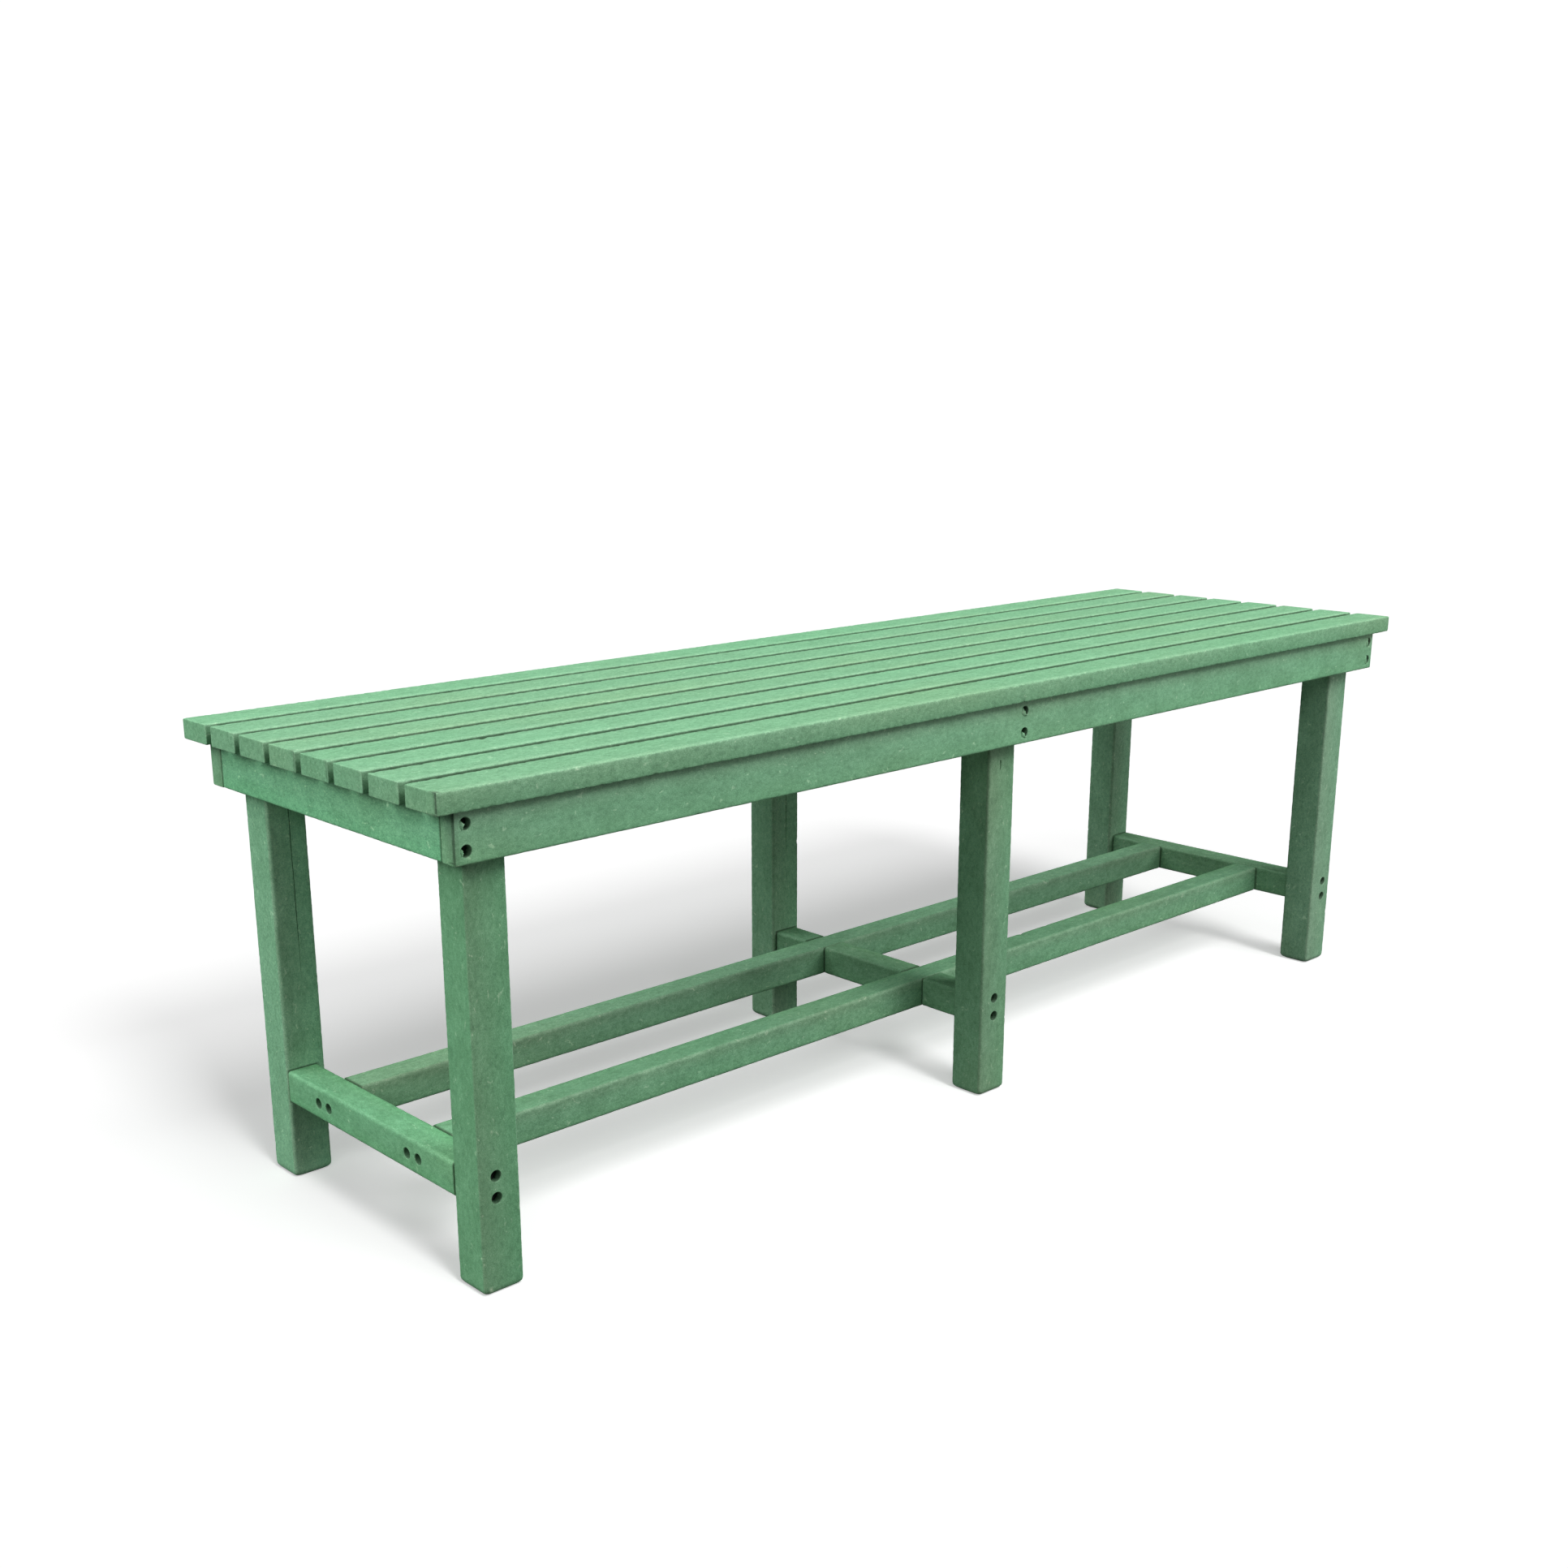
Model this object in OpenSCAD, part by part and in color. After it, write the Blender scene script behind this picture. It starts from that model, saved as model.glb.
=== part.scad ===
// Backless bench of moulded plastic boards: eight lengthwise seat slats on an apron frame,
// six square legs, and a ladder of low stretchers between them.
// X runs along the bench, Y towards the rear, Z up. The origin is on the floor, under the centre.

/* [Bench] */
// Length of the seat slats
bench_l = 1414; // [1300:1:1800]
// Depth over all the slats
bench_d = 420; // [400:1:480]
// Height of the seat above the floor
bench_h = 450; // [420:1:480]

/* [Seat slats] */
// Width of a slat
slat_w = 45; // [42:0.5:48]
// Thickness of a slat
slat_t = 19; // [18:0.5:25]
// Radius of a slat's long edges
slat_r = 2; // [1:0.5:6]

/* [Apron] */
// Height of the apron boards
apron_h = 45; // [40:1:60]
// Thickness of the apron boards
apron_t = 20; // [18:0.5:25]
// Radius of the apron boards' long edges
apron_r = 2; // [1:0.5:6]
// How far the slat ends stand out past the apron
end_overhang = 20; // [5:1:40]
// How far the outer slats stand out past the side aprons
side_overhang = 9; // [2:1:15]

/* [Legs] */
// Width of a square leg
leg_w = 40; // [38:1:50]
// Radius of a leg's upright edges
leg_r = 2.5; // [1:0.5:6]
// Radius of the edges round a foot
foot_r = 6; // [2:0.5:8]
// Centre of the middle pair of legs, along the bench
mid_leg_x = -9; // [-9:1:-2]

/* [Stretchers] */
// Width and height of a stretcher's square section
bar_w = 32; // [30:1:36]
// Radius of a stretcher's long edges
bar_r = 3; // [1:0.5:8]
// Height of the stretchers' top faces above the floor
bar_top = 112; // [100:1:180]
// Distance of each long stretcher's centre line from the bench's middle
rail_y = 76; // [60:1:90]

/* [Screws] */
// Diameter of the counterbores
bore_d = 10; // [9:0.5:12]
// Depth of the counterbores
bore_depth = 10; // [6:0.5:11]
// Diameter of the screw heads
head_d = 8.4; // [7:0.1:8.8]
// Thickness of the screw heads
head_h = 3; // [2:0.5:4]
// Diameter of the screw shanks
shank_d = 4.5; // [4:0.1:5]
// Width of the square drive recess in a head
drive_w = 3; // [2:0.1:4]
// Distance between the two screws of a pair in the apron
apron_pair = 22; // [16:1:26]
// Distance between the two screws of a pair in a leg
leg_pair = 20; // [14:1:20]
// Height of the leg screws' middle above the stretchers' middle
leg_pair_up = 2; // [0:0.5:2]
// Distance between the two screws of a pair in an end stretcher
rail_pair = 18; // [12:1:20]
// Places along the side aprons of the screws up into the two outer slats
edge_screw_x = [-560, -190, 190, 560];

/* [Hidden] */
$fn = 48;

// One node for each slat
slat_n = 8;

// How far a cutter runs past a face, and the length of a screw's point
cut = 1;
point_l = 4;
// How far a screw's shank reaches into the last board it holds
grip_end = 30;
grip_flat = 12;

slat_pitch = (bench_d - slat_w) / (slat_n - 1);
slat_under = bench_h - slat_t;
apron_z = slat_under - apron_h / 2;
apron_x = bench_l / 2 - end_overhang;
apron_y = bench_d / 2 - side_overhang;
end_apron_x = apron_x - apron_t / 2;
side_apron_y = apron_y - apron_t / 2;
leg_x = apron_x - apron_t - leg_w / 2;
leg_y = apron_y - apron_t - leg_w / 2;
leg_inner_y = leg_y - leg_w / 2;
leg_outer_y = leg_y + leg_w / 2;
bar_z = bar_top - bar_w / 2;
end_bar_x = leg_x + leg_w / 2 - bar_w / 2;
rail_l = 2 * (end_bar_x - bar_w / 2);
rail_in = rail_y - bar_w / 2;
rail_out = rail_y + bar_w / 2;

// Shank lengths, from the bottom of the counterbore to the point
corner_len = apron_t - bore_depth + grip_end;
mid_len = apron_t + leg_w - bore_depth + grip_end;
leg_apron_len = leg_w - bore_depth + grip_flat;
leg_bar_len = leg_w - bore_depth + grip_end;
rail_len = bar_w - bore_depth + grip_end;
slat_len = apron_h - bore_depth + grip_flat;

// Centre line of slat i: 1 is the rearmost, slat_n the front one
function slat_y(i) = bench_d / 2 - slat_w / 2 - (i - 1) * slat_pitch;

// X of the legs in place "left", "mid" or "right", and Y of a row "front" or "rear"
function place_x(place) = place == "left" ? -leg_x : place == "right" ? leg_x : mid_leg_x;
function row_sign(row) = row == "front" ? -1 : 1;

// Where the screws stand that hold slat i, seen from above. The outer slats are held from the side
// aprons, and the slats next to them only at the ends, clear of the middle cross apron's own screws.
function is_outer(i) = i == 1 || i == slat_n;
function is_next_to_outer(i) = i == 2 || i == slat_n - 1;
function row_x(i) = is_next_to_outer(i) ? [-end_apron_x, end_apron_x] : [-end_apron_x, 0, end_apron_x];
function slat_screw_x(i) = is_outer(i) ? edge_screw_x : row_x(i);
function slat_screw_y(i) = is_outer(i) ? sign(slat_y(i)) * side_apron_y : slat_y(i);

// ---- Shapes ----

// Rectangle of a by b, centred, with corners of radius r
module rounded_rect(a, b, r) {
    square([a - 2 * r, b], center = true);
    square([a, b - 2 * r], center = true);
    for (x = [-1, 1], y = [-1, 1])
        translate([x * (a / 2 - r), y * (b / 2 - r)]) circle(r);
}

// Board along X: l long, a deep in Y, b high in Z, long edges rounded to r
module board_x(l, a, b, r) {
    rotate([90, 0, 90])
        linear_extrude(l, center = true) rounded_rect(a, b, r);
}

// Board along Y: l long, a wide in X, b high in Z
module board_y(l, a, b, r) {
    rotate([90, 0, 0])
        linear_extrude(l, center = true) rounded_rect(a, b, r);
}

// Side view of a leg, standing on zero, with its lower corners rounded
module foot_outline() {
    translate([-leg_w / 2 + foot_r, 0]) square([leg_w - 2 * foot_r, slat_under]);
    translate([-leg_w / 2, foot_r]) square([leg_w, slat_under - foot_r]);
    for (x = [-1, 1])
        translate([x * (leg_w / 2 - foot_r), foot_r]) circle(foot_r);
}

// One leg, standing on zero with its axis on Z
module leg_post() {
    intersection() {
        linear_extrude(slat_under) rounded_rect(leg_w, leg_w, leg_r);
        rotate([90, 0, 0])
            linear_extrude(leg_w + 2 * cut, center = true) foot_outline();
        rotate([90, 0, 90])
            linear_extrude(leg_w + 2 * cut, center = true) foot_outline();
    }
}

// ---- Screws: each runs along +Z from zero, which is the face it is driven through ----

// Screw with a flat round head on the bottom of its counterbore
module screw(len) {
    difference() {
        translate([0, 0, bore_depth - head_h]) cylinder(h = head_h, d = head_d);
        translate([-drive_w / 2, -drive_w / 2, bore_depth - head_h - cut])
            cube([drive_w, drive_w, cut + head_h * 0.6]);
    }
    translate([0, 0, bore_depth]) cylinder(h = len - point_l, d = shank_d);
    translate([0, 0, bore_depth + len - point_l])
        cylinder(h = point_l, d1 = shank_d, d2 = shank_d / 5);
}

// The counterbore and the hole that such a screw stands in
module screw_hole(len) {
    translate([0, 0, -cut]) cylinder(h = bore_depth + cut, d = bore_d);
    translate([0, 0, bore_depth - cut]) cylinder(h = len + 2 * cut, d = shank_d);
}

// ---- Screw places: each puts its children where that group's screws are ----

// Turn +Z inwards, towards the bench's middle, for a face on side s of the Y or the X axis
module inward_y(s) { rotate([s * 90, 0, 0]) children(); }
module inward_x(s) { rotate([0, -s * 90, 0]) children(); }

// Two per corner, through a side apron into the end of an end apron
module at_apron_corners() {
    for (x = [-1, 1], y = [-1, 1], z = [-1, 1])
        translate([x * end_apron_x, y * apron_y, apron_z + z * apron_pair / 2])
            inward_y(y) children();
}

// Two per side, through the side apron and the middle leg into the middle cross apron
module at_apron_middles() {
    for (y = [-1, 1], z = [-1, 1])
        translate([0, y * apron_y, apron_z + z * apron_pair / 2])
            inward_y(y) children();
}

// Two per end leg, from the leg's inner face out into the side apron
module at_leg_tops() {
    for (x = [-1, 1], y = [-1, 1], z = [-1, 1])
        translate([x * leg_x, y * leg_inner_y, apron_z + z * apron_pair / 2])
            inward_y(-y) children();
}

// Two per leg, through the leg into the end of a stretcher
module at_leg_bars() {
    for (x = [-end_bar_x, mid_leg_x, end_bar_x], y = [-1, 1], z = [-1, 1])
        translate([x, y * leg_outer_y, bar_z + leg_pair_up + z * leg_pair / 2])
            inward_y(y) children();
}

// Two side by side at each end of each long stretcher, through the end stretcher
module at_rail_ends() {
    for (x = [-1, 1], y = [-1, 1], p = [-1, 1])
        translate([x * (end_bar_x + bar_w / 2), y * rail_y + p * rail_pair / 2, bar_z])
            inward_x(x) children();
}

// Two through each long stretcher into the centre piece of the middle stretcher
module at_mid_bars() {
    for (y = [-1, 1], z = [-1, 1])
        translate([mid_leg_x, y * rail_out, bar_z + z * rail_pair / 2])
            inward_y(y) children();
}

// Up through an apron's lower edge into slat i
module at_slat(i) {
    for (x = slat_screw_x(i))
        translate([x, slat_screw_y(i), slat_under - apron_h]) children();
}

// Up into every slat
module at_all_slats() {
    for (i = [1 : slat_n]) at_slat(i) children();
}

// ---- Seat ----

module seat_slat(i) {
    color("mediumseagreen")
        difference() {
            translate([0, slat_y(i), bench_h - slat_t / 2]) board_x(bench_l, slat_w, slat_t, slat_r);
            at_slat(i) screw_hole(slat_len);
        }
}

// ---- Apron frame ----

module side_apron(row) {
    side = row_sign(row);
    color("seagreen")
        difference() {
            translate([0, side * side_apron_y, apron_z]) board_x(2 * apron_x, apron_t, apron_h, apron_r);
            at_apron_corners() screw_hole(corner_len);
            at_apron_middles() screw_hole(mid_len);
            at_leg_tops() screw_hole(leg_apron_len);
            at_slat(side < 0 ? slat_n : 1) screw_hole(slat_len);
        }
}

module cross_apron(x, l) {
    translate([x, 0, apron_z]) board_y(l, apron_t, apron_h, apron_r);
}

module end_apron(side) {
    color("seagreen")
        difference() {
            cross_apron(side * end_apron_x, 2 * (apron_y - apron_t));
            at_apron_corners() screw_hole(corner_len);
            for (i = [2 : slat_n - 1]) at_slat(i) screw_hole(slat_len);
        }
}

module mid_cross_apron() {
    color("seagreen")
        difference() {
            cross_apron(0, 2 * leg_inner_y);
            at_apron_middles() screw_hole(mid_len);
            for (i = [2 : slat_n - 1]) at_slat(i) screw_hole(slat_len);
        }
}

// ---- Legs ----

module leg(row, place) {
    color("darkseagreen")
        difference() {
            translate([place_x(place), row_sign(row) * leg_y, 0]) leg_post();
            at_leg_bars() screw_hole(leg_bar_len);
            at_leg_tops() screw_hole(leg_apron_len);
            at_apron_middles() screw_hole(mid_len);
        }
}

// ---- Stretchers ----

module end_stretcher(side) {
    color("seagreen")
        difference() {
            translate([side * end_bar_x, 0, bar_z]) board_y(2 * leg_inner_y, bar_w, bar_w, bar_r);
            at_leg_bars() screw_hole(leg_bar_len);
            at_rail_ends() screw_hole(rail_len);
        }
}

module long_stretcher(row) {
    color("mediumseagreen")
        difference() {
            translate([0, row_sign(row) * rail_y, bar_z]) board_x(rail_l, bar_w, bar_w, bar_r);
            at_rail_ends() screw_hole(rail_len);
            at_mid_bars() screw_hole(rail_len);
        }
}

// Piece of the middle stretcher from y0 to y1
module mid_bar(y0, y1) {
    translate([mid_leg_x, (y0 + y1) / 2, bar_z]) board_y(y1 - y0, bar_w, bar_w, bar_r);
}

module mid_stretcher_outer(row) {
    color("seagreen")
        difference() {
            if (row == "front") mid_bar(-leg_inner_y, -rail_out);
            else mid_bar(rail_out, leg_inner_y);
            at_leg_bars() screw_hole(leg_bar_len);
        }
}

module mid_stretcher_centre() {
    color("seagreen")
        difference() {
            mid_bar(-rail_in, rail_in);
            at_mid_bars() screw_hole(rail_len);
        }
}

// ---- Screw groups ----

module apron_corner_screws() { color("dimgray") at_apron_corners() screw(corner_len); }
module apron_mid_screws() { color("dimgray") at_apron_middles() screw(mid_len); }
module leg_apron_screws() { color("dimgray") at_leg_tops() screw(leg_apron_len); }
module leg_stretcher_screws() { color("dimgray") at_leg_bars() screw(leg_bar_len); }
module long_stretcher_screws() { color("dimgray") at_rail_ends() screw(rail_len); }
module mid_stretcher_screws() { color("dimgray") at_mid_bars() screw(rail_len); }
module slat_screws() { color("dimgray") at_all_slats() screw(slat_len); }

seat_slat(1);  // seat_slat_1
seat_slat(2);  // seat_slat_2
seat_slat(3);  // seat_slat_3
seat_slat(4);  // seat_slat_4
seat_slat(5);  // seat_slat_5
seat_slat(6);  // seat_slat_6
seat_slat(7);  // seat_slat_7
seat_slat(8);  // seat_slat_8
side_apron("rear");  // side_apron_rear
side_apron("front");  // side_apron_front
end_apron(-1);  // end_apron_left
end_apron(1);  // end_apron_right
mid_cross_apron();
leg("front", "left");  // leg_front_left
leg("front", "mid");  // leg_front_mid
leg("front", "right");  // leg_front_right
leg("rear", "left");  // leg_rear_left
leg("rear", "mid");  // leg_rear_mid
leg("rear", "right");  // leg_rear_right
end_stretcher(-1);  // end_stretcher_left
end_stretcher(1);  // end_stretcher_right
long_stretcher("rear");  // long_stretcher_rear
long_stretcher("front");  // long_stretcher_front
mid_stretcher_outer("rear");  // mid_stretcher_rear
mid_stretcher_centre();
mid_stretcher_outer("front");  // mid_stretcher_front
apron_corner_screws();
apron_mid_screws();
leg_apron_screws();
leg_stretcher_screws();
long_stretcher_screws();
mid_stretcher_screws();
slat_screws();
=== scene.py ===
"""Looks of the backless bench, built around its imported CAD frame. Lengths are metres, X along the bench."""

import math
import random

import bmesh
import bpy
import numpy as np
from mathutils import Matrix, Vector, noise
from mathutils.bvhtree import BVHTree


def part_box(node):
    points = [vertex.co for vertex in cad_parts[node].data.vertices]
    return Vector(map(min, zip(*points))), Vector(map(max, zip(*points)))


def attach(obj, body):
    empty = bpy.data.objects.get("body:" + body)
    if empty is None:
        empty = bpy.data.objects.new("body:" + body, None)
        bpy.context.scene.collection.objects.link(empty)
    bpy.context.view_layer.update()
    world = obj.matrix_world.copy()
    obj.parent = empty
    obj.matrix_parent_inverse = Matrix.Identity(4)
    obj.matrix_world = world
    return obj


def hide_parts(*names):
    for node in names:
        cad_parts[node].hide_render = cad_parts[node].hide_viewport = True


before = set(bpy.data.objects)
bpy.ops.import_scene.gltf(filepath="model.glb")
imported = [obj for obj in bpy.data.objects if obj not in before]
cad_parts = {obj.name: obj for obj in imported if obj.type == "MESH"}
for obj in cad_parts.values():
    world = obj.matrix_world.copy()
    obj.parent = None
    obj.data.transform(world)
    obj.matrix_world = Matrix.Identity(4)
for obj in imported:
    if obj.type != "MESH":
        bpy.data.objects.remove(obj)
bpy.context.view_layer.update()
MM = 0.001
X, Y, Z = 0, 1, 2

# ---------------------------------------------------------------- camera, as fitted to the photo

camera = bpy.data.objects.new("camera", bpy.data.cameras.new("camera"))
bpy.context.scene.collection.objects.link(camera)
right = Vector((0.73536, -0.67766, -0.00505))
up = Vector((0.19258, 0.20183, 0.96030))
back = -Vector((0.64973, 0.70714, -0.27893))
turn = Matrix((right, up, back)).transposed()
camera.matrix_world = Matrix.Translation((-1.4256, -1.3437, 0.7569)) @ turn.to_4x4()
camera.data.sensor_width = 36.0
camera.data.lens = 41.40
camera.data.shift_x = 0.0195
camera.data.shift_y = 0.0675
camera.data.clip_start = 0.05
camera.data.clip_end = 200.0
bpy.context.scene.camera = camera
bpy.context.scene.view_settings.view_transform = "Standard"

# ---------------------------------------------------------------- screws and counterbores of the frame

SCREW_NODES = [
    "apron_corner_screws", "apron_mid_screws", "leg_apron_screws", "leg_stretcher_screws",
    "long_stretcher_screws", "mid_stretcher_screws", "slat_screws",
]
HEAD_R = 4.2 * MM
HEAD_H = 3.0 * MM
BORE_R = 5.0 * MM
BORE_DEPTH = 10.0 * MM


def islands(mesh):
    """Each loose part of a mesh, as an array of its points."""
    bm = bmesh.new()
    bm.from_mesh(mesh)
    bmesh.ops.remove_doubles(bm, verts=bm.verts, dist=1e-6)
    seen, found = set(), []
    for start in bm.verts:
        if start.index in seen:
            continue
        seen.add(start.index)
        todo, points = [start], []
        while todo:
            v = todo.pop()
            points.append(v.co[:])
            for e in v.link_edges:
                w = e.other_vert(v)
                if w.index not in seen:
                    seen.add(w.index)
                    todo.append(w)
        found.append(np.array(points))
    bm.free()
    return found


def find_mouths():
    """The mouth of every counterbore: (centre on the board's face, outward unit axis)."""
    mouths = []
    for node in SCREW_NODES:
        for points in islands(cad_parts[node].data):
            lo, hi = points.min(0), points.max(0)
            axis = int(np.argmax(hi - lo))
            other = [i for i in (X, Y, Z) if i != axis]
            for end, sign in ((lo[axis], -1.0), (hi[axis], 1.0)):
                near = points[abs(points[:, axis] - end) < 0.5 * MM]
                # The head is the screw's wide end
                if np.ptp(near[:, other[0]]) > 1.5 * HEAD_R:
                    centre = (lo + hi) / 2
                    centre[axis] = end + sign * (BORE_DEPTH - HEAD_H)
                    out = np.zeros(3)
                    out[axis] = sign
                    mouths.append((centre, out))
    return mouths


MOUTHS = find_mouths()

# ---------------------------------------------------------------- the boards and the marks seen on them

SLATS = ["seat_slat_%d" % i for i in range(1, 9)]
APRONS = ["side_apron_rear", "side_apron_front", "end_apron_left", "end_apron_right", "mid_cross_apron"]
LEGS = ["leg_%s_%s" % (row, place) for row in ("front", "rear") for place in ("left", "mid", "right")]
BARS = [
    "end_stretcher_left", "end_stretcher_right", "long_stretcher_rear", "long_stretcher_front",
    "mid_stretcher_rear", "mid_stretcher_centre", "mid_stretcher_front",
]

# Chips: place on the board's surface, reach and depth, all in millimetres
CHIPS = {
    "leg_front_mid": [(-28, -180, 392, 5, 0.8), (-28, -180, 371, 4, 0.7)],
    "leg_front_left": [(-667, -181, 240, 5, 0.7), (-667, -181, 118, 4, 0.6)],
    "long_stretcher_front": [
        (-129.6, -92, 94.6, 3.5, 1.0), (179.6, -61, 112, 5, 1.4), (225, -61, 111, 4, 1.2),
    ],
    "long_stretcher_rear": [(385, 61, 112, 5, 1.6), (468, 67, 112, 3.5, 0.9)],
    "seat_slat_6": [(-563, -58, 450, 6, 1.4), (-544, -58, 450, 5, 1.1)],
    "seat_slat_7": [(-466, -126, 450, 5, 0.4), (-389, -148, 450, 5, 0.4)],
    "seat_slat_8": [(-676, -165, 450, 4, 1.0), (-505, -210, 449, 4, 0.8), (-350, -210, 449, 5, 0.8)],
    "seat_slat_1": [(-88, 165, 450, 5, 0.8)],
}
# Torn grooves down the sawn ends: which end, the face beside it, depth
FRONT, REAR = (Y, -1), (Y, 1)
CREASES = {
    "side_apron_front": [(-1, FRONT, 2.6 * MM), (1, FRONT, 1.6 * MM)],
    "side_apron_rear": [(1, REAR, 2.2 * MM)],
    "seat_slat_8": [(-1, FRONT, 1.9 * MM)],
    "seat_slat_5": [(-1, FRONT, 0.8 * MM)],
    "seat_slat_4": [(-1, FRONT, 1.0 * MM)],
    "seat_slat_1": [(1, REAR, 1.4 * MM)],
}
# Curls left in the counterbores of the side aprons' faces, from left to right and upwards:
# where round the rim and how far to each side, in degrees, and how far inwards
CURLS = [
    (186, 34, 2.4 * MM), (190, 46, 4.8 * MM), (222, 62, 4.6 * MM),
    (218, 80, 5.8 * MM), (182, 62, 4.2 * MM), (178, 66, 4.6 * MM),
]
# Shrinkage splits down a leg's front face: place across it (0 to 1), top, bottom, width and depth
SPLITS = {
    "leg_rear_left": (0.56, 384 * MM, 200 * MM, 2.0 * MM, 2.4 * MM),
    "leg_rear_mid": (0.50, 384 * MM, 200 * MM, 2.0 * MM, 2.4 * MM),
    "leg_front_mid": (0.43, 367.5 * MM, 357 * MM, 2.6 * MM, 3.4 * MM),
}
# Boards painted richer or greyer in colour than the rest: partly their own colour, partly painted light and
# shade
RICHNESS_AND_LIGHT = {
    "end_apron_left": 0.13, "end_stretcher_left": 0.12, "leg_front_left": 0.10, "leg_front_right": -0.10,
    "leg_rear_right": -0.08, "leg_rear_mid": -0.05, "long_stretcher_rear": -0.04, "seat_slat_1": 0.03,
}
# Boards painted lighter or darker than the rest, in steps of 3 %: partly their own tone, partly painted light
# and shade
TONE_AND_LIGHT_STEPS = {
    "end_apron_left": 11, "end_apron_right": 5, "side_apron_front": 1.5, "seat_slat_1": 1.5,
    "seat_slat_8": -2.2, "leg_front_left": -0.5, "leg_front_mid": -2, "leg_front_right": 2,
    "leg_rear_left": 6, "end_stretcher_left": 2, "long_stretcher_front": -1, "mid_stretcher_front": -4,
    "mid_stretcher_centre": -4, "mid_stretcher_rear": -4,
}
# From a crease's middle to the face beside it
CREASE_IN = 2.3 * MM
# Length of board for each random nick
NICK_SPACING = 250 * MM
# Strip of the side aprons under the slats' overhang, painted lighter against the shade that the overhang
# casts
OVERHANG_SHADE = 15 * MM

# ---------------------------------------------------------------- board meshes

# Steps round a long edge, then from that edge to the next point on the flat
CORNER_STEPS = 3
EDGE_STEP = 1.6 * MM
# Spacing of the rings near bores and nicks
FINE_STEP = 1.2 * MM
# Rings on an end face, measured inwards from its rounding
CAP_INSETS = [3.2 * MM, 1.9 * MM, 1.4 * MM, 0.9 * MM]
# Rounding of a leg's foot, and depth of the waves in the faces
FOOT_ROUND = 6 * MM
UNEVEN = 0.12 * MM


def section(a, b, r, flat_a, flat_b):
    """Rounded rectangle a by b with corner radius r, as points and outward normals."""
    points, normals = [], []
    ha, hb = a / 2 - r, b / 2 - r
    corners = [(ha, hb, 0.0), (-ha, hb, 0.5), (-ha, -hb, 1.0), (ha, -hb, 1.5)]
    for i, (x, y, turn0) in enumerate(corners):
        for k in range(CORNER_STEPS + 1):
            t = math.pi * (turn0 + 0.5 * k / CORNER_STEPS)
            points.append((x + r * math.cos(t), y + r * math.sin(t)))
            normals.append((math.cos(t), math.sin(t)))
        nx, ny, _ = corners[(i + 1) % 4]
        n = normals[-1]
        x0, y0 = x + r * n[0], y + r * n[1]
        x1, y1 = nx + r * n[0], ny + r * n[1]
        steps = flat_a if i % 2 == 0 else flat_b
        near = EDGE_STEP / math.hypot(x1 - x0, y1 - y0)
        for k in range(1, steps):
            # The outer points keep near the corners, so that the painted shade of a seam stays narrow
            f = near + (1 - 2 * near) * (k - 1) / (steps - 2) if steps > 2 else 0.5
            points.append((x0 + (x1 - x0) * f, y0 + (y1 - y0) * f))
            normals.append(n)
    return np.array(points), np.array(normals)


def stations(length, step, fine):
    """Places along a board, from 0 to length, closer together round each (place, reach) of fine."""
    marks = [0.0]
    while marks[-1] < length:
        at, gap = marks[-1], step
        for place, reach in fine:
            if at < place + reach and at + gap > place - reach:
                inside = abs(at - place) < reach
                gap = min(gap, FINE_STEP if inside else max(FINE_STEP, place - reach - at))
        marks.append(at + gap)
    kept = marks[:-1] if length - marks[-2] > step / 3 else marks[:-2]
    return kept + [length]


def band(low, high, count):
    """Quads between two rings of count points, given by the number of each ring's first point."""
    return [(low + k, low + (k + 1) % count, high + (k + 1) % count, high + k) for k in range(count)]


def near_edge(a, b, half_a, half_b):
    """Distance to the nearest long edge, measured on the faces of a section."""
    return np.maximum(half_a - abs(a), 0) + np.maximum(half_b - abs(b), 0)


def fractal(points, octaves=2):
    """Layered noise at each point."""
    return np.array([noise.fractal(Vector(p), 1.0, 2.0, octaves) for p in points])


def read_vectors(items, name):
    """That vector of each item of a mesh's collection, as rows."""
    values = np.empty(len(items) * 3)
    items.foreach_get(name, values)
    return values.reshape(-1, 3)


def add_attribute(mesh, name, kind, values):
    """Store one value or vector for each point of a mesh."""
    attribute = mesh.attributes.new(name, kind, "POINT")
    field = "vector" if kind == "FLOAT_VECTOR" else "value"
    attribute.data.foreach_set(field, np.asarray(values, np.float32).ravel())


def face_outwards(mesh):
    """Turn the faces of a closed mesh, wound all one way, to look outwards."""
    bm = bmesh.new()
    bm.from_mesh(mesh)
    if bm.calc_volume(signed=True) < 0:
        bmesh.ops.reverse_faces(bm, faces=bm.faces)
    bm.to_mesh(mesh)
    bm.free()


def join_closed(mesh, verts, faces):
    """Add one more closed body to a mesh."""
    extra = bpy.data.meshes.new("extra")
    extra.from_pydata([tuple(p) for p in verts], [], faces)
    face_outwards(extra)
    bm = bmesh.new()
    bm.from_mesh(mesh)
    bm.from_mesh(extra)
    bm.to_mesh(mesh)
    bm.free()
    bpy.data.meshes.remove(extra)


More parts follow.
